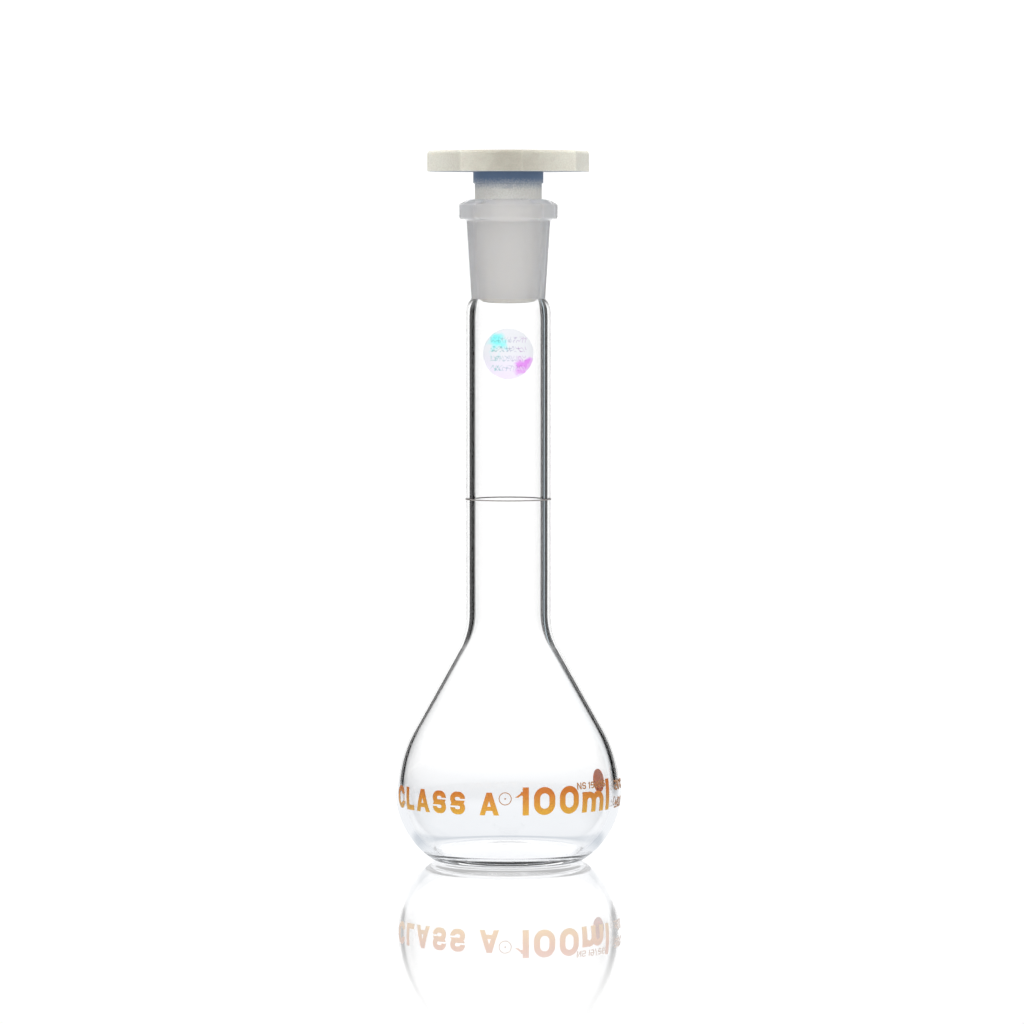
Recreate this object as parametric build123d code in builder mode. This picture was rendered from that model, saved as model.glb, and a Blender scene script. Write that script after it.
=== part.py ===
from build123d import *
from math import atan2, cos, degrees, radians, sin, sqrt, tan
import os

# A wide-neck volumetric flask with a standard-taper ground joint and a lift-out stopper.
# Millimetres. +Z is up along the axis, the origin is the centre of the base's footprint on the table,
# and the front, with the main lettering, faces -Y. A place round the bulb is the way along its widest
# circle from the front, and it is positive towards +X.

# Bulb and neck
bulb_diameter = 60.0
widest_height = 18.5        # of the bulb's widest circle above the table
shoulder_radius = 36.0      # of the arc above the widest circle
belly_radius = 21.5         # of the arc below it
cone_angle = 29.5           # of the cone between shoulder and neck, from the axis
neck_blend = 18.0           # radius where the cone runs into the neck
foot_round = 4.0            # radius where the belly turns onto the table
foot_width = 1.6            # of the flat ring that the flask stands on
punt_depth = 1.4            # of the hollow under the base
neck_step = 1.44            # of the neck's outside beyond the socket's narrow end, on radius
flask_height = 176.0        # to the top of the rim

# Glass thickness
bulb_wall = 1.95
base_wall = 2.9
neck_wall = 2.2
inner_foot_round = 3.2

# Standard-taper joint, 19/26: the nominal ground length is 26, and the mouth's rounded lip adds a little
joint_bore = 18.8           # diameter at the wide end
joint_length = 26.5
joint_taper = 0.1           # on diameter, per length
socket_wall = 1.86          # at the socket's narrow end
socket_draft = 0.0635       # of the socket's outside, on radius, per length
neck_shoulder = 3.8         # height of the rounded step between neck and socket
inner_shoulder_drop = 1.0   # how much lower the step starts inside the neck than outside
rim_overhang = 1.96         # of the rim beyond the socket's outside
rim_thickness = 3.95
rim_round = 0.8
rim_crown = 1.45            # rise of the rim's top from its edge to its mouth
mouth_flat = 0.5            # of the level ring round the mouth
mouth_round = 0.4

# Stopper
fit_clearance = 0.08        # radial, between plug and ground bore
tip_overhang = 1.6          # of the plug beyond the bore's narrow end
tip_round = 1.2
seal_drop = 1.3             # from the rim's top down to where the sealing cone ends
relief_depth = 0.36         # of the relieved neck above the sealing cone, on radius
relief_slope = 0.7          # height of the slope between the two
collar_step = 0.42          # of the collar beyond the relieved neck, on radius
collar_slope = 0.2          # height of the slope under the collar
collar_height = 3.2
head_gap = 7.2              # between the rim's top and the head's underside
head_radius = 21.85         # to the octagon's corners
head_thickness = 5.6
head_sides = 8
head_turn = 9.8             # azimuth of one corner
head_top_round = 0.9
head_corner_round = 1.2
stopper_wall = 1.8
stopper_floor = 1.6
core_mouth_round = 0.6

# Marks on the outside of the glass
ring_height = 96.4          # of the ring mark above the table
ring_line = 0.3
enamel = 0.1                # thickness of every fired mark
print_base = 15.0           # height of the lettering's base line
class_text = ("CLASS", "A")
class_size = 6.0            # height of the capitals
class_stroke = 1.4
class_start = -39.3         # where the line begins
capacity_text = ("100ml",)
capacity_size = 7.35
capacity_stroke = 1.65
capacity_start = 1.8
letter_gap = 1.35
word_gap = 4.0
target_along = -0.8
target_height = 19.4
target_radius = 1.7
target_line = 0.22
joint_text = ("NS", "19/26")
joint_text_size = 1.8
joint_text_stroke = 0.3
joint_text_start = 19.5
joint_text_base = 21.2
temperature_text = ("20°C",)
tolerance_text = ("±0.1",)
tolerance_size = 2.7
tolerance_stroke = 0.42
tolerance_start = 36.7
tolerance_pitch = 4.6       # between the two lines of the small print
small_gap = 0.32
small_word_gap = 0.8
dot_along = 62.3
dot_height = 20.0
dot_radius = 3.4
seal_radius = 6.65
seal_gap = 7.65             # between the foil seal and the socket
foil = 0.1
print_depth = 2.0           # how far a letter reaches into and out of the bulb before it is cut to the enamel

# Worked out from the sizes above
bulb_radius = bulb_diameter / 2
joint_foot = flask_height - joint_length
shoulder_centre = (bulb_radius - shoulder_radius, widest_height)
belly_centre = (bulb_radius - belly_radius, widest_height)
head_bottom = flask_height + head_gap
head_top = head_bottom + head_thickness


def bore_radius(height):
    """Radius of the ground bore at a height above the table."""
    return joint_bore / 2 - joint_taper / 2 * (flask_height - height)


socket_foot_radius = bore_radius(joint_foot) + socket_wall
neck_radius = socket_foot_radius + neck_step
seal_height = joint_foot - seal_gap - seal_radius


def draw_wall(inset, floor, foot, neck, top):
    """Draw the line of the wall, set in from the outside, from the floor's edge up to the neck's top."""
    belly = belly_radius - inset
    drop = widest_height - floor - foot
    reach = sqrt((belly - foot) ** 2 - drop**2)
    turn = degrees(atan2(drop, reach))
    foot_centre = (belly_centre[0] + reach, floor + foot)
    foot_arc = CenterArc(foot_centre, foot, -90, 90 - turn)
    CenterArc(belly_centre, belly, -turn, turn)
    shoulder_arc = CenterArc(shoulder_centre, shoulder_radius - inset, 0, cone_angle)
    cone_start = shoulder_arc @ 1
    corner = cone_start.Y + (cone_start.X - neck) / tan(radians(cone_angle))
    neck_line = FilletPolyline(cone_start, (neck, corner), (neck, top), radius=neck_blend + inset)
    return foot_arc @ 0, neck_line @ 1


# The space inside the bulb and neck, up to the ground bore's narrow end
with BuildPart() as cavity:
    with BuildSketch(Plane.XZ):
        with BuildLine():
            inner_neck = neck_radius - neck_wall
            inner_shoulder_foot = joint_foot - neck_shoulder - inner_shoulder_drop
            floor_edge, neck_top = draw_wall(
                bulb_wall, base_wall, inner_foot_round, inner_neck, inner_shoulder_foot
            )
            TangentArc(neck_top, (bore_radius(joint_foot), joint_foot), tangent=(0, 1))
            Polyline((bore_radius(joint_foot), joint_foot), (0, joint_foot), (0, base_wall + punt_depth))
            TangentArc((0, base_wall + punt_depth), floor_edge, tangent=(1, 0))
        make_face()
    revolve(axis=Axis.Z)

# Blown body: base, bulb, neck and the rounded step under the joint
with BuildPart() as flask_body:
    with BuildSketch(Plane.XZ):
        with BuildLine():
            foot_edge, neck_top = draw_wall(0, 0, foot_round, neck_radius, joint_foot - neck_shoulder)
            TangentArc(neck_top, (socket_foot_radius, joint_foot), tangent=(0, 1))
            punt_edge = (foot_edge.X - foot_width, 0)
            Polyline((socket_foot_radius, joint_foot), (0, joint_foot), (0, punt_depth))
            TangentArc((0, punt_depth), punt_edge, tangent=(1, 0))
            Line(punt_edge, foot_edge)
        make_face()
    revolve(axis=Axis.Z)
    add(cavity.part, mode=Mode.SUBTRACT)

# Ground socket with its rim, fused onto the neck
with BuildPart() as ground_socket:
    rim_foot = flask_height - rim_crown - rim_thickness
    under_rim = socket_foot_radius + socket_draft * (rim_foot - joint_foot)
    rim_radius = under_rim + rim_overhang
    with BuildSketch(Plane.XZ) as socket_wall_section:
        with BuildLine():
            Polyline(
                (bore_radius(joint_foot), joint_foot),
                (socket_foot_radius, joint_foot),
                (under_rim, rim_foot),
                (rim_radius, rim_foot),
                (rim_radius, flask_height - rim_crown),
                (bore_radius(flask_height) + mouth_flat, flask_height),
                (bore_radius(flask_height), flask_height),
                close=True,
            )
        make_face()
        corners = socket_wall_section.vertices()
        fillet(corners.sort_by(Axis.X)[-2:], rim_round)
        fillet(corners.sort_by_distance((under_rim, rim_foot))[0], rim_round)
        fillet(corners.sort_by_distance((bore_radius(flask_height), flask_height))[0], mouth_round)
    revolve(axis=Axis.Z)

# Stopper: octagonal head, collar, relieved neck and hollow tapered plug, moulded in one
with BuildPart() as stopper:
    seal_top = flask_height - seal_drop
    tip = joint_foot - tip_overhang
    tip_radius = bore_radius(tip) - fit_clearance
    seal_top_radius = bore_radius(seal_top) - fit_clearance
    relief_radius = seal_top_radius - relief_depth
    collar_radius = relief_radius + collar_step
    collar_foot = head_bottom - collar_height
    with BuildSketch(Plane.XZ) as plug_section:
        with BuildLine():
            Polyline(
                (0, tip),
                (tip_radius, tip),
                (seal_top_radius, seal_top),
                (relief_radius, seal_top + relief_slope),
                (relief_radius, collar_foot),
                (collar_radius, collar_foot + collar_slope),
                (collar_radius, head_bottom),
                (0, head_bottom),
                close=True,
            )
        make_face()
        fillet(plug_section.vertices().sort_by_distance((tip_radius, tip))[0], tip_round)
    revolve(axis=Axis.Z)
    with BuildSketch(Plane.XY.offset(head_bottom)) as head_outline:
        RegularPolygon(head_radius, head_sides, rotation=head_turn - 90)
        fillet(head_outline.vertices(), head_corner_round)
    extrude(amount=head_thickness)
    fillet(stopper.faces().sort_by(Axis.Z)[-1].edges(), head_top_round)
    with BuildSketch(Plane.XZ) as core_section:
        with BuildLine():
            core_floor = tip + stopper_floor
            core_foot_radius = bore_radius(core_floor) - fit_clearance - stopper_wall
            core_top_radius = core_foot_radius + joint_taper / 2 * (head_top - core_floor)
            Polyline(
                (0, core_floor),
                (core_foot_radius, core_floor),
                (core_top_radius, head_top),
                (0, head_top),
                close=True,
            )
        make_face()
        fillet(core_section.vertices().sort_by_distance((core_foot_radius, core_floor))[0], tip_round)
    revolve(axis=Axis.Z, mode=Mode.SUBTRACT)
    core_mouth = stopper.edges().filter_by(GeomType.CIRCLE).group_by(Axis.Z)[-1].sort_by(SortBy.RADIUS)[-1]
    fillet(core_mouth, core_mouth_round)

# Ring mark round the neck
with BuildPart() as graduation_ring:
    with BuildSketch(Plane.XY.offset(ring_height - ring_line / 2)):
        Circle(neck_radius + enamel)
        Circle(neck_radius, mode=Mode.SUBTRACT)
    extrude(amount=ring_line)


def bulb_plane(along, height):
    """The plane that faces out of the bulb at a place round its widest circle, with its middle at a height."""
    turn = along / bulb_radius
    outward = (sin(turn), -cos(turn), 0)
    middle = (bulb_radius * outward[0], bulb_radius * outward[1], height)
    return Plane(origin=middle, x_dir=(cos(turn), sin(turn), 0), z_dir=outward)


# A layer of enamel all round the middle of the bulb, from which every print is cut
with BuildPart() as enamel_layer:
    enamel_up = 15          # reach above and below the widest circle, as angles of the two arcs
    enamel_down = 25
    with BuildSketch(Plane.XZ):
        with BuildLine():
            outer_belly = CenterArc(belly_centre, belly_radius + enamel, -enamel_down, enamel_down)
            outer_shoulder = CenterArc(shoulder_centre, shoulder_radius + enamel, 0, enamel_up)
            inner_belly = CenterArc(belly_centre, belly_radius, -enamel_down, enamel_down)
            inner_shoulder = CenterArc(shoulder_centre, shoulder_radius, 0, enamel_up)
            Line(outer_belly @ 0, inner_belly @ 0)
            Line(outer_shoulder @ 1, inner_shoulder @ 1)
        make_face()
    revolve(axis=Axis.Z)


def bar(left, low, right, high, mode=Mode.ADD):
    """Add or cut an upright rectangle."""
    with Locations(((left + right) / 2, (low + high) / 2)):
        Rectangle(right - left, high - low, mode=mode)


def slant(foot, head, low, high, stroke):
    """Add a leaning stroke whose left edge runs from foot to head."""
    Polygon((foot, low), (foot + stroke, low), (head + stroke, high), (head, high), align=None)


def loop(left, low, wide, tall, stroke):
    """Add a round-ended ring."""
    length, width, turn = (tall, wide, 90) if tall > wide else (wide, tall, 0)
    with Locations((left + wide / 2, low + tall / 2)):
        SlotOverall(length, width, rotation=turn)
        SlotOverall(length - 2 * stroke, width - 2 * stroke, rotation=turn, mode=Mode.SUBTRACT)


def draw_letter(letter, tall, stroke):
    """Draw one letter of a plain sans-serif face, standing on the base line."""
    wide = 0.8 * tall
    low_bar, high_bar = (tall - stroke) / 2, (tall + stroke) / 2
    if letter == "l":
        bar(0, 0, stroke, 1.12 * tall)
    elif letter == "L":
        bar(0, 0, stroke, tall)
        bar(0, 0, 0.62 * tall, stroke)
    elif letter == "A":
        wide = 0.86 * tall
        slant(0, (wide - stroke) / 2, 0, tall, stroke)
        slant(wide - stroke, (wide - stroke) / 2, 0, tall, stroke)
        bar(0.22 * wide, 0.2 * tall, 0.78 * wide, 0.2 * tall + 0.8 * stroke)
    elif letter == "N":
        bar(0, 0, stroke, tall)
        bar(wide - stroke, 0, wide, tall)
        slant(wide - stroke, 0, 0, tall, stroke)
    elif letter == "1":
        bar(1.2 * stroke, 0, 2.2 * stroke, tall)
        slant(0, 1.2 * stroke, tall - 1.6 * stroke, tall - 0.7 * stroke, 0.5 * stroke)
        bar(0.9 * stroke, tall - 1.3 * stroke, 1.3 * stroke, tall - 0.7 * stroke)
    elif letter == "m":
        small, wide = 0.74 * tall, 1.14 * tall
        loop(0, -small, (wide + stroke) / 2, 2 * small, stroke)
        loop((wide - stroke) / 2, -small, (wide + stroke) / 2, 2 * small, stroke)
        bar((wide - stroke) / 2, 0, (wide + stroke) / 2, small / 2)
        bar(0, 0, stroke, small)
        bar(-stroke, -small - stroke, wide + stroke, 0, mode=Mode.SUBTRACT)
    elif letter == "S":
        wide = 0.72 * tall
        loop(0, 0, wide, high_bar, stroke)
        loop(0, low_bar, wide, high_bar, stroke)
        bar(wide / 2, high_bar, wide, high_bar + 0.5 * (low_bar - stroke), mode=Mode.SUBTRACT)
        bar(0, low_bar - 0.5 * (low_bar - stroke), wide / 2, low_bar, mode=Mode.SUBTRACT)
    elif letter == "/":
        slant(0, 0.4 * tall, 0, tall, stroke)
    elif letter == "°":
        loop(0, tall - 0.36 * tall, 0.36 * tall, 0.36 * tall, 0.7 * stroke)
    elif letter == ".":
        bar(0, 0, stroke, stroke)
    elif letter == "±":
        bar(0, 0, wide, stroke)
        bar(0, low_bar, wide, high_bar)
        bar((wide - stroke) / 2, low_bar - 1.2 * stroke, (wide + stroke) / 2, high_bar + 1.2 * stroke)
    else:
        loop(0, 0, wide, tall, stroke)
        if letter == "C":
            bar(wide / 2, 0.34 * tall, wide, 0.66 * tall, mode=Mode.SUBTRACT)
        if letter in "26":
            side = 0 if letter == "2" else wide / 2
            bar(side, high_bar, side + wide / 2, 0.8 * tall, mode=Mode.SUBTRACT)
        if letter in "29":
            side = wide / 2 if letter == "2" else 0
            bar(side, 0.2 * tall, side + wide / 2, low_bar, mode=Mode.SUBTRACT)
        if letter in "269":
            bar(stroke / 2, low_bar, wide - stroke / 2, high_bar)


def lettering(words, tall, stroke, start, base, gap, space):
    """Wrap a line of words round the bulb, letter by letter, and cut the letters from the enamel layer."""
    along = start
    with BuildPart() as line:
        for word in words:
            for letter in word:
                with BuildSketch(mode=Mode.PRIVATE) as outline:
                    draw_letter(letter, tall, stroke)
                extent = outline.sketch.bounding_box()
                with BuildSketch(bulb_plane(along + extent.size.X / 2, base)):
                    add(outline.sketch.moved(Location((-extent.center().X, 0))))
                extrude(amount=print_depth, both=True)
                along += extent.size.X + gap
            along += space - gap
        add(enamel_layer.part, mode=Mode.INTERSECT)
    return line


# Large lettering, left and right
class_print = lettering(
    class_text, class_size, class_stroke, class_start, print_base, letter_gap, word_gap
)
capacity_print = lettering(
    capacity_text, capacity_size, capacity_stroke, capacity_start, print_base, letter_gap, word_gap
)

# Small lettering: the joint's size, and the reference temperature over the tolerance
joint_size_print = lettering(
    joint_text,
    joint_text_size,
    joint_text_stroke,
    joint_text_start,
    joint_text_base,
    small_gap,
    small_word_gap,
)
temperature_print = lettering(
    temperature_text,
    tolerance_size,
    tolerance_stroke,
    tolerance_start,
    print_base + tolerance_pitch,
    small_gap,
    small_word_gap,
)
tolerance_print = lettering(
    tolerance_text, tolerance_size, tolerance_stroke, tolerance_start, print_base, small_gap, small_word_gap
)

# Thin ring with a dot, between the two large words
with BuildPart() as target_print:
    with BuildSketch(bulb_plane(target_along, target_height)):
        Circle(target_radius)
        Circle(target_radius - target_line, mode=Mode.SUBTRACT)
        Circle(target_line)
    extrude(amount=print_depth, both=True)
    add(enamel_layer.part, mode=Mode.INTERSECT)

# Colour-code dot on the far side
with BuildPart() as colour_dot:
    with BuildSketch(bulb_plane(dot_along, dot_height)):
        Circle(dot_radius)
    extrude(amount=print_depth, both=True)
    add(enamel_layer.part, mode=Mode.INTERSECT)

# Round foil seal wrapped on the neck below the joint
with BuildPart() as foil_seal:
    with BuildSketch(Plane.XZ.offset(neck_radius / 2)):
        with Locations((0, seal_height)):
            Circle(seal_radius)
    extrude(amount=neck_radius)
    with BuildSketch(Plane.XY.offset(seal_height - seal_radius)):
        Circle(neck_radius + foil)
        Circle(neck_radius, mode=Mode.SUBTRACT)
    extrude(amount=2 * seal_radius, mode=Mode.INTERSECT)


# What the flask holds when it is filled to the ring mark
with BuildPart() as fill:
    add(cavity.part)
    split(bisect_by=Plane.XY.offset(ring_height), keep=Keep.BOTTOM)
millilitre = 1000
print(f"capacity to the ring mark: {fill.part.volume / millilitre:.1f} ml")

os.makedirs("parts", exist_ok=True)
pieces = {
    "flask_body": flask_body,
    "ground_socket": ground_socket,
    "stopper": stopper,
    "graduation_ring": graduation_ring,
    "class_print": class_print,
    "capacity_print": capacity_print,
    "target_print": target_print,
    "joint_size_print": joint_size_print,
    "temperature_print": temperature_print,
    "tolerance_print": tolerance_print,
    "colour_dot": colour_dot,
    "foil_seal": foil_seal,
}
for label, piece in pieces.items():
    piece.part.label = label
    export_step(piece.part, f"parts/{label}.step")
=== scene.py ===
from math import asin, atan2, ceil, cos, pi, radians, sin, sqrt, tan

import bmesh
import bpy
from bpy.props import FloatProperty, FloatVectorProperty, IntProperty, PointerProperty
from bpy.types import Operator, Panel, PropertyGroup
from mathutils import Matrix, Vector


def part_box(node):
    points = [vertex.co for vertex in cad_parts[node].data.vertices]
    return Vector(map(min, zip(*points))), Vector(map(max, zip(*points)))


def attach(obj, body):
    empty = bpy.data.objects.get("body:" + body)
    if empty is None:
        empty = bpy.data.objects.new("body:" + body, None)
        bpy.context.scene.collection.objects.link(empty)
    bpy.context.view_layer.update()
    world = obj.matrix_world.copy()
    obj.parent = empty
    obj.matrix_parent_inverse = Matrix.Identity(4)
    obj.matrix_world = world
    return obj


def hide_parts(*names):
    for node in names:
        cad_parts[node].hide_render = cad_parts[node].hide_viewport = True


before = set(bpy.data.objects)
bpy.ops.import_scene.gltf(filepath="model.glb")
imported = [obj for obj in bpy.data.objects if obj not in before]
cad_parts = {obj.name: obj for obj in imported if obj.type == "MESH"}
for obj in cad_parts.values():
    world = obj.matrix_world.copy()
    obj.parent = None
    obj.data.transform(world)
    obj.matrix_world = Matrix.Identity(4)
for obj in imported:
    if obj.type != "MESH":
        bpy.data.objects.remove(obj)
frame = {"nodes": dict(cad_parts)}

bl_info = {
    "name": "Volumetric Flask",
    "version": (1, 0, 0),
    "blender": (4, 5, 0),
    "location": "3D View > Sidebar > Flask",
    "description": "Builds a wide-neck volumetric flask with its stopper and marks, in a soft studio",
    "category": "Object",
}

BODY_LOW, BODY_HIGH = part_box("flask_body")
SOCKET_LOW, SOCKET_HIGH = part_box("ground_socket")
STOPPER_LOW, STOPPER_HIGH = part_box("stopper")
CLASS_LOW, CLASS_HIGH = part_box("class_print")
FOIL_LOW, FOIL_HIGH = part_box("foil_seal")
RING_LOW, RING_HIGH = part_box("graduation_ring")

ENAMEL = 0.0001                # thickness of a fired mark
JOINT_SLOPE = 0.05             # of the ground bore, on radius, per length
SOCKET_DRAFT = 0.0635          # of the socket's outside, on radius, per length
INNER_SHOULDER_DROP = 0.001    # how much lower the step under the socket starts inside
MOUTH_FLAT = 0.0005            # width of the level ring round the mouth


def length(name, description, default):
    """A size in metres, as a property."""
    return FloatProperty(
        name=name, description=description, default=default, min=0.0, unit="LENGTH", precision=5
    )


def tint(name, description, default):
    """A colour, as a property."""
    return FloatVectorProperty(
        name=name, description=description, default=default, size=3, min=0.0, max=1.0, subtype="COLOR"
    )


class GlassSettings(PropertyGroup):
    """Sizes of the glass."""

    bulb_diameter: length("Bulb diameter", "Across the bulb at its widest", BODY_HIGH.x - BODY_LOW.x)
    widest_height: length("Widest height", "Height of the bulb's widest circle", 0.0185)
    shoulder_radius: length("Shoulder radius", "Radius of the arc above the widest circle", 0.036)
    belly_radius: length("Belly radius", "Radius of the arc below the widest circle", 0.0215)
    cone_angle: FloatProperty(
        name="Cone angle",
        description="Lean of the cone under the neck",
        default=radians(29.5),
        subtype="ANGLE",
    )
    neck_blend: length("Neck blend", "Radius between the cone and the neck", 0.018)
    foot_round: length("Foot round", "Radius where the belly turns onto the table", 0.004)
    foot_width: length("Foot width", "Width of the flat ring under the foot", 0.0016)
    punt_depth: length("Punt depth", "Depth of the hollow under the base", 0.0014)
    neck_diameter: length(
        "Neck diameter", "Across the outside of the neck", RING_HIGH.x - RING_LOW.x - 2 * ENAMEL
    )
    bulb_wall: length("Bulb wall", "Thickness of the bulb and the cone", 0.00195)
    base_wall: length("Base wall", "Thickness of the base", 0.0029)
    neck_wall: length("Neck wall", "Thickness of the neck", 0.0022)
    inner_foot_round: length("Inner foot round", "Radius of the inner corner of the base", 0.0032)
    socket_top: length("Socket top", "Height of the mouth", SOCKET_HIGH.z)
    socket_foot: length("Socket foot", "Height of the narrow end of the ground joint", SOCKET_LOW.z)
    socket_bore: length("Socket bore", "Bore of the ground joint at the mouth", 0.0188)
    socket_wall: length("Socket wall", "Thickness at the narrow end of the socket", 0.00186)
    neck_shoulder: length("Neck shoulder", "Height of the step between neck and socket", 0.0038)
    rim_diameter: length("Rim diameter", "Across the rim", SOCKET_HIGH.x - SOCKET_LOW.x)
    rim_thickness: length("Rim thickness", "Height of the rim's side", 0.00395)
    rim_crown: length("Rim crown", "Rise of the rim's top from its edge to the mouth", 0.00145)
    rim_round: length("Rim round", "Radius of the rim's corners", 0.0008)
    mouth_round: length("Mouth round", "Radius of the inner edge of the mouth", 0.0004)
    mark_gap: length("Mark gap", "Air between the glass and the fired marks", 0.00002)
    segments: IntProperty(name="Segments", description="Steps once round the glass", default=192, min=32)


class FinishSettings(PropertyGroup):
    """Colours of the finishes."""

    plastic: tint("Stopper", "Natural polyethylene", (0.41, 0.395, 0.335))
    # Painted glow: the ends of the head are painted lighter than its middle, as if light shone through them.
    plastic_ends_painted_glow: tint(
        "Stopper ends", "Thin corners of the head, where light shines through", (0.78, 0.77, 0.69)
    )
    plastic_shank: tint("Stopper shank", "Polyethylene below the head", (0.70, 0.695, 0.67))
    # Painted light: the stopper inside the ground socket is painted much lighter than the rest, standing in
    # for the light that reaches it through the ground glass.
    plastic_plug_painted_light: tint("Stopper plug", "Polyethylene pressed against the ground glass", (0.95, 0.92, 0.86))
    plastic_shade: tint("Stopper shade", "Polyethylene deep under the head", (0.15, 0.22, 0.34))
    amber_top: tint("Amber, upper", "Top of the fired lettering", (0.66, 0.17, 0.01))
    amber_low: tint("Amber, lower", "Bottom of the fired lettering", (0.82, 0.46, 0.03))
    dot: tint("Dot", "Colour-code dot", (0.95, 0.20, 0.02))
    fine_print: tint("Fine print", "Small fired lettering", (0.33, 0.13, 0.04))
    ring: tint("Ring mark", "Fired line round the neck", (0.20, 0.18, 0.17))
    foil: tint("Foil", "Foil of the seal", (0.76, 0.77, 0.80))
    # Painted iridescent sheen: cyan and magenta stand in for light diffracted by the foil.
    foil_painted_cyan_sheen: tint("Foil cyan", "Where the foil turns cyan", (0.25, 0.85, 0.85))
    foil_painted_magenta_sheen: tint("Foil magenta", "Where the foil turns magenta", (0.72, 0.25, 0.80))


class StudioSettings(PropertyGroup):
    """Camera and light."""

    eye_height: length("Eye height", "Height of the camera above the table", 0.1678)
    distance: length("Distance", "From the camera to the flask's axis", 1.4868)
    target_height: length("Target height", "Height that the camera looks at", 0.0929)
    aside: FloatProperty(
        name="Aside",
        description="How far right of the axis the camera stands and looks",
        default=0.00098,
        unit="LENGTH",
    )
    lens: FloatProperty(
        name="Lens", description="Focal length of the camera", default=196.9, min=1, unit="CAMERA"
    )
    backdrop_gap: length("Backdrop gap", "From the flask to the backdrop", 0.45)
    hairline: length("Hairline", "Air between the foot and the table", 0.00005)
    ambient: FloatProperty(
        name="Ambient", description="Soft light from all round on solid surfaces", default=1.0, min=0
    )


def to_object_mode():
    """Leave edit mode and drop the selection."""
    if bpy.context.mode != "OBJECT":
        bpy.ops.object.mode_set(mode="OBJECT")
    bpy.ops.object.select_all(action="DESELECT")


def start_line(x, z):
    """Put one selected vertex at a radius and height in the mesh being edited."""
    bpy.ops.mesh.select_all(action="DESELECT")
    bpy.ops.mesh.primitive_plane_add(size=0.001, location=(x, 0, z))
    bpy.ops.mesh.merge(type="CENTER")


def line_end():
    """Radius and height of the selected end of the line being drawn."""
    chosen = [v.co for v in bmesh.from_edit_mesh(bpy.context.object.data).verts if v.select]
    if len(chosen) != 1:
        raise RuntimeError("the line has lost its end")
    return Vector((chosen[0].x, chosen[0].z))


def line_to(x, z, steps=1):
    """Extrude the end of the line straight to a radius and height."""
    way = (Vector((x, z)) - line_end()) / steps
    for _ in range(steps):
        bpy.ops.mesh.extrude_region_move(TRANSFORM_OT_translate={"value": (way.x, 0, way.y)})


def arc(centre, turn, step=radians(3)):
    """Swing the end of the line round a centre; a positive turn runs from the foot out and up."""
    bpy.ops.mesh.spin(
        steps=max(3, ceil(abs(turn) / step)), angle=turn, center=(centre[0], 0, centre[1]), axis=(0, 1, 0)
    )


def corners(points):
    """Draw straight lines through corners given as radius, height and rounding."""
    for number, (x, z, rounding) in enumerate(points):
        if rounding == 0 or number == len(points) - 1:
            line_to(x, z)
            continue
        here, corner = line_end(), Vector((x, z))
        ahead = Vector(points[number + 1][:2])
        arriving, leaving = (corner - here).normalized(), (ahead - corner).normalized()
        turn = atan2(arriving.x * leaving.y - arriving.y * leaving.x, arriving.dot(leaving))
        first = corner - arriving * rounding * tan(abs(turn) / 2)
        side = 1 if turn > 0 else -1
        centre = first + Vector((-arriving.y, arriving.x)) * rounding * side
        line_to(first.x, first.y)
        arc(centre, turn, step=radians(9))


def dome(height, x, z):
    """Draw from the axis, level at first, down to a radius and height."""
    drop = height - z
    radius = (x * x + drop * drop) / (2 * drop)
    arc((0, height - radius), -asin(x / radius), step=radians(0.5))


def lean_in(x, z):
    """Draw an arc that starts upright and leans in to a radius and height."""
    here = line_end()
    inward, up = here.x - x, z - here.y
    radius = (inward * inward + up * up) / (2 * inward)
    arc((here.x - radius, here.y), asin(up / radius))


def draw_wall(glass, inset, floor, foot, neck, top):
    """Draw the foot, belly, shoulder, cone and neck at a depth inside the outer surface."""
    belly_centre = glass.bulb_diameter / 2 - glass.belly_radius
    shoulder_centre = glass.bulb_diameter / 2 - glass.shoulder_radius
    drop = glass.widest_height - floor - foot
    reach = sqrt((glass.belly_radius - inset - foot) ** 2 - drop**2)
    turn = atan2(drop, reach)
    arc((belly_centre + reach, floor + foot), pi / 2 - turn)
    arc((belly_centre, glass.widest_height), turn, step=radians(2))
    arc((shoulder_centre, glass.widest_height), glass.cone_angle, step=radians(1))
    cone_start = line_end()
    corner_height = cone_start.y + (cone_start.x - neck) / tan(glass.cone_angle)
    blend = glass.neck_blend + inset
    turn_height = corner_height + blend * tan(glass.cone_angle / 2)
    blend_start = Vector((
        neck + blend * (1 - cos(glass.cone_angle)),
        turn_height - blend * sin(glass.cone_angle),
    ))
    line_to(blend_start.x, blend_start.y, steps=6)
    arc((neck + blend, turn_height), -glass.cone_angle, step=radians(1))
    line_to(neck, top, steps=24)


def foot_start(glass, inset, floor, foot):
    """Radius at which the foot's round meets the floor."""
    drop = glass.widest_height - floor - foot
    reach = sqrt((glass.belly_radius - inset - foot) ** 2 - drop**2)
    return glass.bulb_diameter / 2 - glass.belly_radius + reach


def put_on(obj, *materials):
    """Give an object these materials in order."""
    obj.data.materials.clear()
    for material in materials:
        obj.data.materials.append(material)


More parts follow.
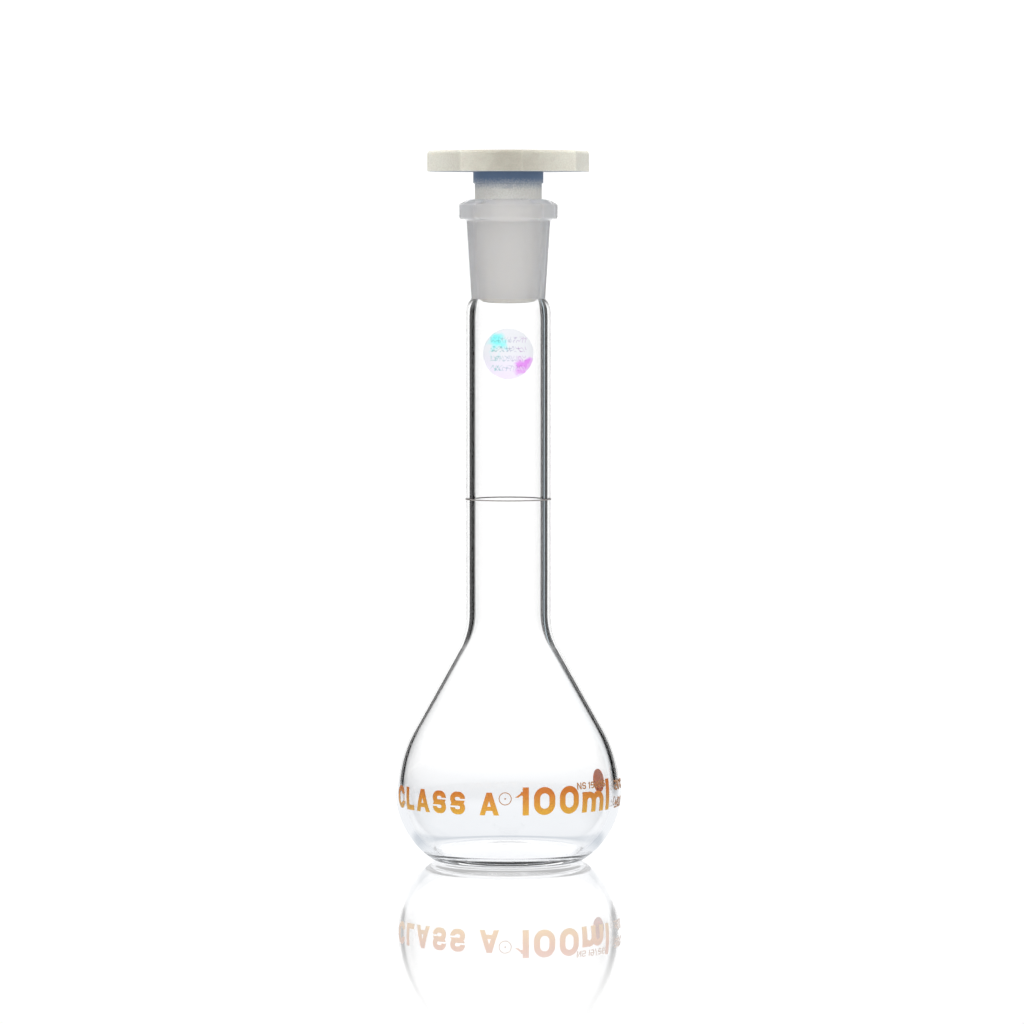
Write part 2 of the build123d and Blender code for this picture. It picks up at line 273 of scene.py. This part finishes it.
class Recipe:
    """The nodes of a material or world under construction, with short ways to add and join them."""

    def __init__(self, owner, surface="Principled BSDF", place="Object"):
        owner.use_nodes = True
        self.owner = owner
        self.nodes = owner.node_tree.nodes
        self.links = owner.node_tree.links
        self.surface = self.nodes[surface]
        self.place = self.node("ShaderNodeTexCoord").outputs[place]

    def node(self, kind, settings=None, **inputs):
        """Add a node. Settings go on the node, and inputs are numbers, colours or other nodes' outputs."""
        made = self.nodes.new(kind)
        for name, value in (settings or {}).items():
            setattr(made, name, value)
        for name, value in inputs.items():
            self.put(made, name, value)
        return made

    def put(self, node, name, value):
        """Set or join one input: by name, with spaces as underscores, or by number after an n."""
        numbered = name[0] == "n" and name[1:].isdigit()
        socket = node.inputs[int(name[1:]) if numbered else name.replace("_", " ")]
        if isinstance(value, bpy.types.NodeSocket):
            self.links.new(value, socket)
        else:
            socket.default_value = value

    def shader(self, **inputs):
        """Set inputs of the main shader."""
        for name, value in inputs.items():
            self.put(self.surface, name, value)

    def noise(self, scale, detail=2.0, rough=0.5, place=None):
        """Soft noise over the object, from 0 to 1."""
        made = self.node(
            "ShaderNodeTexNoise", Vector=place or self.place, Scale=scale, Detail=detail, Roughness=rough
        )
        return made.outputs["Fac"]

    def stretch(self, value, from_low, from_high, to_low, to_high):
        """Map a range onto another, held at its ends."""
        made = self.node("ShaderNodeMapRange", n0=value, n1=from_low, n2=from_high, n3=to_low, n4=to_high)
        return made.outputs["Result"]

    def maths(self, kind, first, second=0.0):
        """One sum on two values."""
        return self.node("ShaderNodeMath", {"operation": kind}, n0=first, n1=second).outputs["Value"]

    def mix(self, share, first, second):
        """Mix two colours."""
        made = self.node("ShaderNodeMix", {"data_type": "RGBA"})
        self.put(made, "n0", share)
        self.put(made, "n6", first)
        self.put(made, "n7", second)
        return made.outputs[2]

    def blend(self, share, first, second):
        """Mix two numbers."""
        return self.node("ShaderNodeMix", n0=share, n2=first, n3=second).outputs[0]

    def axes(self):
        """The coordinates as separate X, Y and Z."""
        split = self.node("ShaderNodeSeparateXYZ", Vector=self.place)
        return split.outputs["X"], split.outputs["Y"], split.outputs["Z"]

    def bump(self, height, strength, distance):
        """Bump the main shader's surface by a height."""
        made = self.node("ShaderNodeBump", Height=height, Strength=strength, Distance=distance)
        self.put(self.surface, "Normal", made.outputs["Normal"])


def new_finish(name):
    """Start a material."""
    return Recipe(bpy.data.materials.new(name))


def colour(value, alpha=1.0):
    """A colour property as red, green, blue and alpha."""
    return (value[0], value[1], value[2], alpha)


def clear_glass():
    """Clear blown borosilicate glass."""
    recipe = new_finish("clear_glass")
    recipe.shader(Base_Color=(1, 1, 1, 1), Roughness=0.0, IOR=1.473, Transmission_Weight=1.0)
    recipe.bump(recipe.noise(45, detail=1.0), 0.015, 0.001)
    return recipe.owner


def ground_glass():
    """The same glass with its surface ground to a fine frost."""
    recipe = new_finish("ground_glass")
    grain = recipe.noise(4200, detail=3.0)
    patch = recipe.noise(260, detail=2.0)
    recipe.shader(
        Base_Color=(0.95, 0.95, 0.97, 1),
        Roughness=recipe.stretch(patch, 0.3, 0.7, 0.42, 0.55),
        IOR=1.473,
        Transmission_Weight=0.6,
    )
    recipe.bump(grain, 0.25, 0.0001)
    return recipe.owner


def polyethylene(finish):
    """Natural polyethylene: cloudy inside, finely mottled outside, with a cold shade under the head."""
    recipe = new_finish("polyethylene")
    height = recipe.axes()[2]
    grain = recipe.noise(2300, detail=3.0, rough=0.65)
    blotch = recipe.noise(420, detail=3.0)
    warm = recipe.noise(3400, detail=1.0)
    head_foot = STOPPER_HIGH.z - 0.0056
    shank = recipe.stretch(height, head_foot - 0.0001, head_foot + 0.0001, 1.0, 0.0)
    # Painted glow: the colour turns lighter towards both ends of the head.
    ends = recipe.stretch(recipe.maths("ABSOLUTE", recipe.axes()[0]), 0.002, 0.0205, 0.0, 1.0)
    head = recipe.mix(ends, colour(finish.plastic), colour(finish.plastic_ends_painted_glow))
    body = recipe.mix(shank, head, colour(finish.plastic_shank))
    # Painted light: below the mouth the stopper turns to the lighter plug colour.
    plug = recipe.stretch(height, SOCKET_HIGH.z - 0.002, SOCKET_HIGH.z, 1.0, 0.0)
    body = recipe.mix(plug, body, colour(finish.plastic_plug_painted_light))
    mottle = recipe.mix(0.5, body, (0.34, 0.32, 0.26, 1))
    body = recipe.mix(recipe.stretch(grain, 0.38, 0.62, 0.0, 0.5), body, mottle)
    body = recipe.mix(recipe.stretch(warm, 0.45, 0.65, 0.0, 0.2), body, (0.66, 0.52, 0.47, 1))
    body = recipe.mix(recipe.stretch(blotch, 0.4, 0.65, 0.0, 0.12), body, (0.72, 0.78, 0.66, 1))
    wobble = recipe.maths("MULTIPLY", recipe.stretch(grain, 0.3, 0.7, -1.0, 1.0), 0.0006)
    uneven = recipe.maths("ADD", height, wobble)
    depth = recipe.stretch(uneven, head_foot - 0.0048, head_foot - 0.0018, 0.0, 1.0)
    body = recipe.mix(recipe.maths("MULTIPLY", depth, shank), body, colour(finish.plastic_shade))
    recipe.shader(
        Base_Color=body,
        Roughness=recipe.stretch(grain, 0.3, 0.7, 0.42, 0.58),
        Subsurface_Weight=0.7,
        Subsurface_Radius=(1.0, 0.95, 0.85),
        Subsurface_Scale=0.0012,
        IOR=1.51,
    )
    recipe.bump(grain, 0.3, 0.00015)
    return recipe.owner


def amber_enamel(finish):
    """Fired amber enamel that light shines through, browner at the top and golden at the foot."""
    recipe = new_finish("amber_enamel")
    height = recipe.axes()[2]
    rise = recipe.stretch(height, CLASS_LOW.z, CLASS_HIGH.z, 0.0, 1.0)
    tone = recipe.mix(rise, colour(finish.amber_low), colour(finish.amber_top))
    speck = recipe.noise(2400, detail=3.0)
    tone = recipe.mix(recipe.stretch(speck, 0.35, 0.7, 0.0, 0.3), tone, (0.85, 0.42, 0.06, 1))
    recipe.shader(
        Base_Color=tone,
        Roughness=recipe.stretch(speck, 0.3, 0.7, 0.3, 0.45),
        Transmission_Weight=0.45,
    )
    recipe.bump(speck, 0.2, 0.00005)
    return recipe.owner


def dot_enamel(finish):
    """Fired orange-red enamel of the colour-code dot."""
    recipe = new_finish("dot_enamel")
    speck = recipe.noise(1400, detail=3.0)
    recipe.shader(
        Base_Color=recipe.mix(
            recipe.stretch(speck, 0.35, 0.7, 0.0, 0.5), colour(finish.dot), (1.0, 0.30, 0.05, 1)
        ),
        Roughness=recipe.stretch(speck, 0.3, 0.7, 0.3, 0.45),
        Transmission_Weight=0.35,
    )
    recipe.bump(speck, 0.2, 0.00005)
    return recipe.owner


def fine_enamel(finish):
    """The same enamel in fine strokes, fired darker."""
    recipe = new_finish("fine_enamel")
    speck = recipe.noise(3200, detail=3.0)
    recipe.shader(
        Base_Color=recipe.mix(
            recipe.stretch(speck, 0.3, 0.7, 0.0, 0.5), colour(finish.fine_print), (0.5, 0.25, 0.07, 1)
        ),
        Roughness=recipe.stretch(speck, 0.3, 0.7, 0.3, 0.45),
    )
    recipe.bump(speck, 0.2, 0.00005)
    return recipe.owner


def ring_enamel(finish):
    """Thin grey fired line."""
    recipe = new_finish("ring_enamel")
    speck = recipe.noise(2600, detail=3.0)
    recipe.shader(
        Base_Color=recipe.mix(
            recipe.stretch(speck, 0.3, 0.7, 0.0, 0.5), colour(finish.ring), (0.34, 0.32, 0.30, 1)
        ),
        Roughness=recipe.stretch(speck, 0.3, 0.7, 0.3, 0.45),
    )
    recipe.bump(speck, 0.2, 0.00004)
    return recipe.owner


def iridescent_foil(finish):
    """Thin pale foil with a painted iridescent sheen, cyan and magenta in places and lilac towards the
    bottom, with four rows of fine dashes printed on it.
    """
    recipe = new_finish("iridescent_foil")
    across, _, height = recipe.axes()
    middle = (FOIL_LOW + FOIL_HIGH) / 2
    radius = (FOIL_HIGH.z - FOIL_LOW.z) / 2
    right = recipe.maths("DIVIDE", recipe.maths("SUBTRACT", across, middle.x), radius)
    up = recipe.maths("DIVIDE", recipe.maths("SUBTRACT", height, middle.z), radius)
    spot = recipe.node("ShaderNodeCombineXYZ", X=right, Y=up)
    cloud = recipe.noise(2.2, detail=3.0, place=spot.outputs["Vector"])

    def patch(x, y, size):
        """A soft round patch of colour with a torn edge."""
        away = recipe.node(
            "ShaderNodeVectorMath", {"operation": "DISTANCE"}, n0=spot.outputs["Vector"], n1=(x, y, 0)
        )
        torn = recipe.maths("ADD", away.outputs["Value"], recipe.stretch(cloud, 0.3, 0.7, -0.25, 0.25))
        return recipe.stretch(torn, size * 0.4, size, 1.0, 0.0)

    # Painted iridescent sheen: lilac towards the bottom, then cyan and magenta patches, in place of light
    # diffracted by the foil.
    tone = recipe.mix(recipe.stretch(up, -0.9, 0.1, 0.6, 0.0), colour(finish.foil), (0.84, 0.70, 0.92, 1))
    tone = recipe.mix(patch(-0.45, 0.42, 0.42), tone, colour(finish.foil_painted_cyan_sheen))
    tone = recipe.mix(patch(0.62, -0.42, 0.42), tone, colour(finish.foil_painted_magenta_sheen))
    row = recipe.maths("DIVIDE", recipe.maths("ADD", up, 0.564), 0.373)
    number = recipe.maths("ROUND", row)
    off = recipe.maths("ABSOLUTE", recipe.maths("SUBTRACT", row, number))
    cell = recipe.node(
        "ShaderNodeCombineXYZ",
        X=recipe.maths("MULTIPLY", right, 8.0),
        Y=recipe.maths("MULTIPLY", row, 2.2),
    )
    stroke = recipe.node("ShaderNodeTexNoise", Vector=cell.outputs["Vector"], Scale=1.1, Detail=0.0)
    edge = recipe.maths("ABSOLUTE", recipe.maths("SUBTRACT", stroke.outputs["Fac"], 0.5))
    stroke = recipe.stretch(edge, 0.02, 0.05, 1.0, 0.0)
    inked = recipe.maths("MULTIPLY", stroke, recipe.stretch(off, 0.28, 0.32, 1.0, 0.0))
    for place, fade_start in ((right, 0.68), (up, 0.72)):
        inside = recipe.stretch(recipe.maths("ABSOLUTE", place), fade_start, 0.74, 1.0, 0.0)
        inked = recipe.maths("MULTIPLY", inked, inside)
    ink = recipe.mix(recipe.stretch(right, -0.4, 0.5, 0.0, 1.0), (0.12, 0.45, 0.45, 1), (0.40, 0.16, 0.48, 1))
    tone = recipe.mix(recipe.maths("MULTIPLY", inked, 0.7), tone, ink)
    recipe.shader(Base_Color=tone, Metallic=0.15, Roughness=recipe.stretch(cloud, 0.3, 0.7, 0.3, 0.45))
    recipe.bump(cloud, 0.1, 0.0001)
    return recipe.owner


class FLASK_OT_glass(Operator):
    """Spin the blown body and the ground socket as one unbroken piece of glass"""

    bl_idname = "flask.glass"
    bl_label = "Make the glass"

    def execute(self, context):
        glass = context.scene.flask_glass
        bore = glass.socket_bore / 2
        taper = (glass.socket_top - glass.socket_foot) * JOINT_SLOPE
        narrow = bore - taper
        neck = glass.neck_diameter / 2
        outer_foot = narrow + glass.socket_wall
        rim_foot = glass.socket_top - glass.rim_crown - glass.rim_thickness
        under_rim = outer_foot + SOCKET_DRAFT * (rim_foot - glass.socket_foot)
        shoulder_foot = glass.socket_foot - glass.neck_shoulder
        rim = glass.rim_diameter / 2

        to_object_mode()
        bpy.ops.mesh.primitive_plane_add(size=0.001)
        piece = context.object
        piece.name = piece.data.name = "glass_flask"
        bpy.ops.object.mode_set(mode="EDIT")
        bpy.ops.mesh.delete(type="VERT")

        foot = foot_start(glass, glass.mark_gap, 0, glass.foot_round)
        start_line(0, glass.punt_depth)
        dome(glass.punt_depth, foot - glass.foot_width, 0)
        line_to(foot, 0)
        draw_wall(glass, glass.mark_gap, 0, glass.foot_round, neck - glass.mark_gap, shoulder_foot)
        lean_in(outer_foot, glass.socket_foot)
        corners((
            (under_rim, rim_foot, glass.rim_round),
            (rim, rim_foot, glass.rim_round),
            (rim, glass.socket_top - glass.rim_crown, glass.rim_round),
            (bore + 0.0015, glass.socket_top - glass.rim_crown * 0.12, 0.002),
            (bore + MOUTH_FLAT, glass.socket_top, 0),
        ))

        start_line(0, glass.base_wall + glass.punt_depth)
        inner_foot = foot_start(glass, glass.bulb_wall, glass.base_wall, glass.inner_foot_round)
        dome(glass.base_wall + glass.punt_depth, inner_foot, glass.base_wall)
        draw_wall(
            glass,
            glass.bulb_wall,
            glass.base_wall,
            glass.inner_foot_round,
            neck - glass.neck_wall,
            shoulder_foot - INNER_SHOULDER_DROP,
        )
        lean_in(narrow, glass.socket_foot)
        corners((
            (bore, glass.socket_top, glass.mouth_round),
            (bore + MOUTH_FLAT, glass.socket_top, 0),
        ))

        bpy.ops.mesh.select_all(action="SELECT")
        bpy.ops.mesh.spin(steps=glass.segments, angle=2 * pi, center=(0, 0, 0), axis=(0, 0, 1))
        bpy.ops.mesh.select_all(action="SELECT")
        bpy.ops.mesh.remove_doubles(threshold=0.000002)
        bpy.ops.mesh.normals_make_consistent(inside=False)

        put_on(piece, clear_glass(), ground_glass())
        bpy.ops.mesh.select_all(action="DESELECT")
        bpy.ops.mesh.select_mode(type="FACE")
        shape = bmesh.from_edit_mesh(piece.data)
        for face in shape.faces:
            middle = face.calc_center_median()
            inside = middle.xy.length < bore + 0.0001
            face.select_set(inside and glass.socket_foot < middle.z < glass.socket_top)
        bmesh.update_edit_mesh(piece.data)
        piece.active_material_index = 1
        bpy.ops.object.material_slot_assign()
        bpy.ops.object.mode_set(mode="OBJECT")
        bpy.ops.object.shade_smooth_by_angle(angle=radians(35))
        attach(piece, "flask")
        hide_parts("flask_body", "ground_socket")
        return {"FINISHED"}


class FLASK_OT_stopper(Operator):
    """Finish the moulded stopper"""

    bl_idname = "flask.stopper"
    bl_label = "Finish the stopper"

    def execute(self, context):
        put_on(frame["nodes"]["stopper"], polyethylene(context.scene.flask_finish))
        return {"FINISHED"}


class FLASK_OT_marks(Operator):
    """Finish the fired marks and the foil seal"""

    bl_idname = "flask.marks"
    bl_label = "Finish the marks"

    def execute(self, context):
        finish = context.scene.flask_finish
        nodes = frame["nodes"]
        amber, fine = amber_enamel(finish), fine_enamel(finish)
        for name in ("class_print", "capacity_print"):
            put_on(nodes[name], amber)
        put_on(nodes["colour_dot"], dot_enamel(finish))
        for name in ("target_print", "joint_size_print", "temperature_print", "tolerance_print"):
            put_on(nodes[name], fine)
        put_on(nodes["graduation_ring"], ring_enamel(finish))
        put_on(nodes["foil_seal"], iridescent_foil(finish))
        return {"FINISHED"}


def emitter(name, tone, strength):
    """A plain glowing white surface."""
    material = bpy.data.materials.new(name)
    material.use_nodes = True
    nodes = material.node_tree.nodes
    nodes.clear()
    glow = nodes.new("ShaderNodeEmission")
    glow.inputs["Color"].default_value = tone
    glow.inputs["Strength"].default_value = strength
    out = nodes.new("ShaderNodeOutputMaterial")
    material.node_tree.links.new(glow.outputs["Emission"], out.inputs["Surface"])
    return material


def floor_finish():
    """White glossy table top, whose mirror image fades away from the flask and which glows only round it, a
    painted pool of light with a painted shadow ring under the belly.
    """
    recipe = new_finish("table_white")
    across, along, _ = recipe.axes()
    across = recipe.maths("MULTIPLY", across, across)
    along = recipe.maths("MULTIPLY", along, along)
    reach = recipe.maths("SQRT", recipe.maths("ADD", across, along))
    path = recipe.node("ShaderNodeLightPath")
    seen = path.outputs["Is Camera Ray"]
    fresnel = recipe.node("ShaderNodeFresnel", IOR=1.5).outputs["Fac"]
    polish = recipe.maths("MULTIPLY", fresnel, recipe.stretch(reach, 0.18, 0.32, 1.0, 0.0))
    bounced = recipe.maths("GREATER_THAN", path.outputs["Diffuse Depth"], 0.5)
    # Painted pool of light: for rays through the glass the table glows only near the flask and turns to
    # mirror further off; light bounced off solid surfaces always sees the glow.
    unlit = recipe.maths("SUBTRACT", recipe.stretch(reach, 0.10, 0.40, 0.0, 1.0), bounced)
    # Painted shadow: a darker ring on the table under the belly of the flask, for rays through the glass.
    overhang = recipe.maths("ABSOLUTE", recipe.maths("SUBTRACT", reach, 0.031))
    painted_belly_shadow = recipe.stretch(overhang, 0.002, 0.008, 1.0, 0.0)
    shade = recipe.mix(painted_belly_shadow, (0.88, 0.90, 0.93, 1), (0.62, 0.66, 0.71, 1))
    tone = recipe.mix(seen, shade, (1, 1, 1, 1))
    glow = recipe.node("ShaderNodeEmission", Color=tone, Strength=1.02).outputs["Emission"]
    mirror = recipe.node("ShaderNodeBsdfGlossy", Color=(1, 1, 1, 1), Roughness=0.0).outputs["BSDF"]
    both = recipe.node("ShaderNodeMixShader", n0=recipe.blend(seen, unlit, polish), n1=glow, n2=mirror)
    recipe.put(recipe.nodes["Material Output"], "Surface", both.outputs["Shader"])
    return recipe.owner


def studio_light(ambient):
    """White to the eye, dark behind clear glass except overhead, and soft light on solid surfaces."""
    recipe = Recipe(bpy.data.worlds.new("studio"), surface="Background", place="Generated")
    _, back, up = recipe.axes()
    path = recipe.node("ShaderNodeLightPath")
    clear = recipe.stretch(up, 0.2, 0.5, 0.002, 0.9)
    front_light = recipe.stretch(back, -1.0, 0.0, 2.3, 0.0)
    back_light = recipe.stretch(back, 0.0, 1.0, 0.35, 1.6)
    soft = recipe.maths("ADD", front_light, back_light)
    solid = recipe.maths("MULTIPLY", soft, ambient)
    bounced = recipe.maths("GREATER_THAN", path.outputs["Diffuse Depth"], 0.5)
    strength = recipe.blend(path.outputs["Is Camera Ray"], recipe.blend(bounced, clear, solid), 1.3)
    recipe.shader(Color=(1, 1, 1, 1), Strength=strength)
    recipe.owner.cycles.sampling_method = "NONE"
    return recipe.owner


class FLASK_OT_stage(Operator):
    """Set up the table, backdrop, soft light and camera"""

    bl_idname = "flask.stage"
    bl_label = "Set up the studio"

    def card(self, name, width, aside, behind, material):
        """Stand a tall glowing card behind the flask, square to the camera."""
        to_object_mode()
        bpy.ops.mesh.primitive_plane_add(size=1)
        made = bpy.context.object
        made.name = name
        made.scale = (width, 1.0, 1)
        bpy.ops.object.transform_apply(location=False, rotation=False, scale=True)
        put_on(made, material)
        made.parent = bpy.context.scene.camera
        made.location = (aside, 0, -(bpy.context.scene.flask_studio.distance + behind))

    def execute(self, context):
        studio = context.scene.flask_studio
        scene = context.scene
        to_object_mode()
        bpy.ops.object.camera_add(location=(studio.aside, -studio.distance, studio.eye_height))
        camera = context.object
        camera.name = "camera"
        camera.data.lens = studio.lens
        camera.data.sensor_width = 36
        camera.data.clip_start, camera.data.clip_end = 0.01, 20
        look = Vector((studio.aside, 0, studio.target_height)) - camera.location
        camera.rotation_euler = look.to_track_quat("-Z", "Y").to_euler()
        scene.camera = camera

        to_object_mode()
        bpy.ops.mesh.primitive_plane_add(size=8, location=(0, 0, -studio.hairline))
        floor = context.object
        floor.name = "table"
        bpy.ops.object.transform_apply(location=True, rotation=False, scale=False)
        put_on(floor, floor_finish())

        white = emitter("backdrop_white", (1, 1, 1, 1), 1.2)
        self.card("backdrop", 0.44, -0.02, studio.backdrop_gap, white)
        blue = emitter("strip_blue", (0.62, 0.72, 0.78, 1), 0.8)
        self.card("side_strip", 0.09, 0.44, 0.41, blue)

        to_object_mode()
        bpy.ops.object.light_add(type="AREA", location=(0, 0, 1.1))
        lamp = context.object
        lamp.name = "overhead_softbox"
        lamp.data.shape = "DISK"
        lamp.data.size = 0.9
        lamp.data.energy = 3
        lamp.visible_glossy = lamp.visible_transmission = False

        scene.world = studio_light(studio.ambient)
        scene.view_settings.view_transform = "Standard"
        scene.view_settings.look = "None"
        scene.cycles.max_bounces = 32
        scene.cycles.transmission_bounces = 32
        scene.cycles.glossy_bounces = 24
        scene.cycles.transparent_max_bounces = 16
        return {"FINISHED"}


class FLASK_PT_sidebar(Panel):
    """Buttons for each step, in the 3D view's sidebar"""

    bl_label = "Volumetric flask"
    bl_idname = "FLASK_PT_sidebar"
    bl_space_type = "VIEW_3D"
    bl_region_type = "UI"
    bl_category = "Flask"

    def draw(self, context):
        for step in STEPS:
            self.layout.operator(step.bl_idname)


SETTINGS = {"flask_glass": GlassSettings, "flask_finish": FinishSettings, "flask_studio": StudioSettings}
STEPS = (FLASK_OT_glass, FLASK_OT_stopper, FLASK_OT_marks, FLASK_OT_stage)


def register():
    for kind in (*SETTINGS.values(), *STEPS, FLASK_PT_sidebar):
        bpy.utils.register_class(kind)
    for name, kind in SETTINGS.items():
        setattr(bpy.types.Scene, name, PointerProperty(type=kind))


def unregister():
    for name in SETTINGS:
        delattr(bpy.types.Scene, name)
    for kind in (FLASK_PT_sidebar, *reversed(STEPS), *reversed(SETTINGS.values())):
        bpy.utils.unregister_class(kind)


def main():
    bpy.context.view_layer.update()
    register()
    bpy.ops.flask.glass()
    bpy.ops.flask.stopper()
    bpy.ops.flask.marks()
    bpy.ops.flask.stage()


if __name__ == "__main__":
    main()
